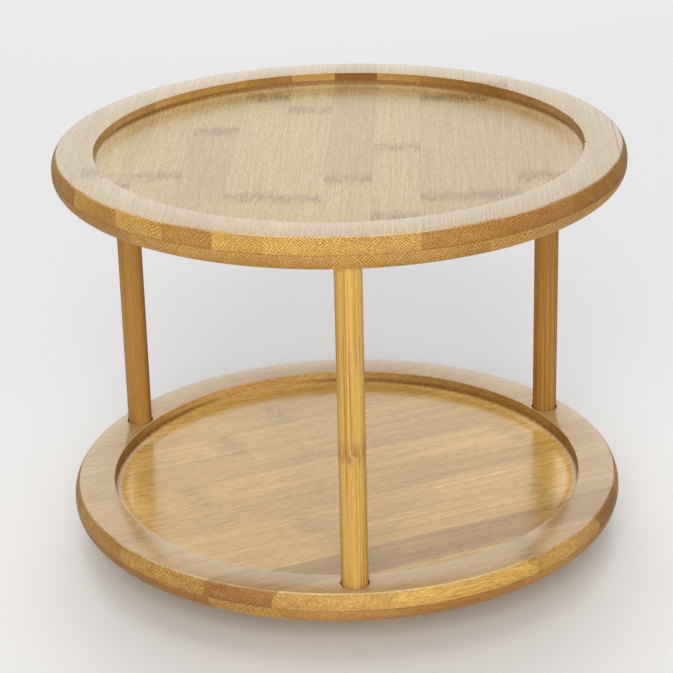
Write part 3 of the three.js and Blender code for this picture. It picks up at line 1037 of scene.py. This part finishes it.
def build_rivet():
    """A tube with a flange at each end."""
    tube, flange, thick = 6.6 * MM, high("centre_rivet").x, 0.7 * MM
    wall = tube - 1 * MM
    tall = half_height("centre_rivet")
    corners = [(wall, -tall), (flange, -tall), (flange, -tall + thick), (tube, -tall + thick),
               (tube, tall - thick), (flange, tall - thick), (flange, tall), (wall, tall)]
    rolled, edge, root = 0.6 * MM, 0.3 * MM, 0.2 * MM
    radii = [rolled, edge, edge, root, root, edge, edge, rolled]
    rivet = turned("centre_rivet_fine", rounded(corners, radii, 6), 96)
    moved(rivet, Vector((0, 0, SWIVEL_LEVEL)))
    finish_piece(rivet, ZINC_SCREW, "base", "fastener_steel", "centre_rivet")


def build_cage():
    inside, outside = GROOVE_CIRCLE - 4.2 * MM, high("ball_cage").x
    thin, ease, reach = half_height("ball_cage"), 0.2 * MM, 3 * MM
    corners = [(inside, -thin), (outside, -thin), (outside, thin), (inside, thin)]
    cage = turned("ball_cage_fine", rounded(corners, [ease] * 4), 192)
    pockets = [round_cutter(POCKET_RADIUS, -reach, reach, middle(node), 48) for node in BALLS]
    moved(carve(cage, pockets), Vector((0, 0, SWIVEL_LEVEL)))
    finish_piece(cage, NYLON, "ball_ring", "cage_plastic", "ball_cage")


def build_balls():
    ball = turned("ball", half_circle(half_height("ball_1"), 24), 48, 60)
    for twin, node in zip(copies(ball, len(BALLS)), BALLS):
        twin.name = node + "_fine"
        moved(twin, middle(node))
        finish_piece(twin, BALL_STEEL, "ball_ring", "ball_steel", node)


def build_swivel():
    build_plate("bearing_lower_plate", "base_screw_", "base", upper=False)
    build_plate("bearing_upper_plate", "tray_screw_", "carousel", upper=True)
    build_plate_screws("base_screw_", "base", upper=False)
    build_plate_screws("tray_screw_", "carousel", upper=True)
    build_rivet()
    build_cage()
    build_balls()


# ---- Post screws --------------------------------------------------------------------


def wood_screw(name, tall):
    """A countersunk wood screw, point upwards, with a cross recess in its head at 0."""
    shank, head, cone, point = 1.8 * MM, 3.7 * MM, 2.4 * MM, 4 * MM
    root = shank * 0.72
    pitch = 1.1 * MM
    profile = [(0, 0), (head - 0.1 * MM, 0), (head, 0.1 * MM), (head, 0.3 * MM),
               (shank, cone), (shank, 8 * MM)]
    for i in range(int((tall - point - 8.4 * MM) / pitch)):
        foot = 8.3 * MM + i * pitch
        profile += [(root, foot), (root, foot + 0.45 * pitch), (shank, foot + 0.7 * pitch)]
    profile += [(root, tall - point), (0, tall)]
    recess = [spun(wedge, math.pi, "X") for wedge in cross_cutters(0, 2.1 * MM, 1.6 * MM)]
    return carve(turned(name, profile, 40, smooth_angle=40), recess, 40)


def build_post_screws():
    """Screws that come up into the posts from under the lower tray."""
    screw = wood_screw("post_screw", 2 * half_height(POST_SCREWS[0]))
    for i, (twin, node) in enumerate(zip(copies(screw, len(POST_SCREWS)), POST_SCREWS)):
        twin.name = node + "_fine"
        place, turn = middle(node), 1.1 * i
        moved(spun(twin, turn), Vector((place.x, place.y, low(node).z)))
        finish_piece(twin, ZINC_SCREW, "carousel", "fastener_steel", node)


# ---- Camera, light and floor --------------------------------------------------------


def build_camera():
    """Standing 0.95 m in front, a little left of the front post's plane, looking down."""
    distance, height = 945.7 * MM, 457.3 * MM
    # Degrees: turn is round the trays' axis, the others are the camera's own.
    turn, pan, pitch, roll = 1.2335, -0.189, 22.546, -1.444
    place = Matrix.Rotation(math.radians(-turn), 3, "Z") @ Vector((0, -distance, 0))
    place.z = high("lower_tray_top_ply").z + height
    look = (Matrix.Rotation(math.radians(-turn - pan), 3, "Z")
            @ Matrix.Rotation(math.radians(90 - pitch), 3, "X")
            @ Matrix.Rotation(math.radians(roll), 3, "Z"))
    data = bpy.data.cameras.new("camera")
    data.sensor_width = 36
    data.lens = 119.4
    camera = bpy.data.objects.new("camera", data)
    camera.matrix_world = Matrix.Translation(place) @ look.to_4x4()
    bpy.context.scene.collection.objects.link(camera)
    bpy.context.scene.camera = camera


def build_world():
    """A light tent's walls: bright in front, above and behind, dark at the left and right."""
    bright, dark = 0.78, 0.04
    fade_start, fade_end = 0.30, 0.70
    world = bpy.data.worlds.new("studio")
    bpy.context.scene.world = world
    world.use_nodes = True
    tree = world.node_tree
    tree.nodes.clear()
    output = tree.nodes.new("ShaderNodeOutputWorld")
    sky = tree.nodes.new("ShaderNodeBackground")
    where = tree.nodes.new("ShaderNodeTexCoord")
    split = tree.nodes.new("ShaderNodeSeparateXYZ")
    sideways = tree.nodes.new("ShaderNodeMath")
    sideways.operation = "ABSOLUTE"
    fade = tree.nodes.new("ShaderNodeMapRange")
    for socket, value in zip(fade.inputs[1:], (fade_start, fade_end, bright, dark)):
        socket.default_value = value
    tree.links.new(where.outputs["Generated"], split.inputs[0])
    tree.links.new(split.outputs[0], sideways.inputs[0])
    tree.links.new(sideways.outputs[0], fade.inputs[0])
    tree.links.new(fade.outputs[0], sky.inputs["Strength"])
    tree.links.new(sky.outputs[0], output.inputs["Surface"])


def softbox(name, place, aim, width, height, radiance):
    data = bpy.data.lights.new(name, "AREA")
    data.shape = "RECTANGLE"
    data.size = width
    data.size_y = height
    data.energy = radiance * math.pi * width * height
    lamp = bpy.data.objects.new(name, data)
    lamp.location = place
    lamp.rotation_euler = (Vector(aim) - Vector(place)).to_track_quat("-Z", "Y").to_euler()
    lamp.visible_camera = False
    bpy.context.scene.collection.objects.link(lamp)


def build_floor():
    bm = bmesh.new()
    bmesh.ops.create_grid(bm, x_segments=2, y_segments=2, size=4.0)
    floor = as_object("floor", bm)
    g = Graph("paper")
    fibre = g.noise(g.place.outputs["Object"], scale=300, detail=2)
    g.link(g.mix(fibre, (0.93, 0.93, 0.93), (0.96, 0.96, 0.96)), g.shader.inputs["Base Color"])
    g.shader.inputs["Roughness"].default_value = 0.9
    floor.data.materials.append(g.material)


def build_studio():
    build_world()
    softbox("backdrop", (0, 2.4, 1.1), (0, 0, 0.9), 2.6, 2.1, 1.50)
    softbox("front", (-0.15, -2.3, 1.15), (0, 0, 0.1), 1.3, 1.9, 5.5)
    softbox("overhead", (0, 0, 2.6), (0, 0, 0), 1.2, 2.4, 1.3)
    build_floor()
    view = bpy.context.scene.view_settings
    view.view_transform = "Standard"
    view.look = "None"


build_camera()
build_studio()
build_lower_tray()
build_upper_tray()
build_posts()
build_base_disc()
build_feet()
build_swivel()
build_post_screws()
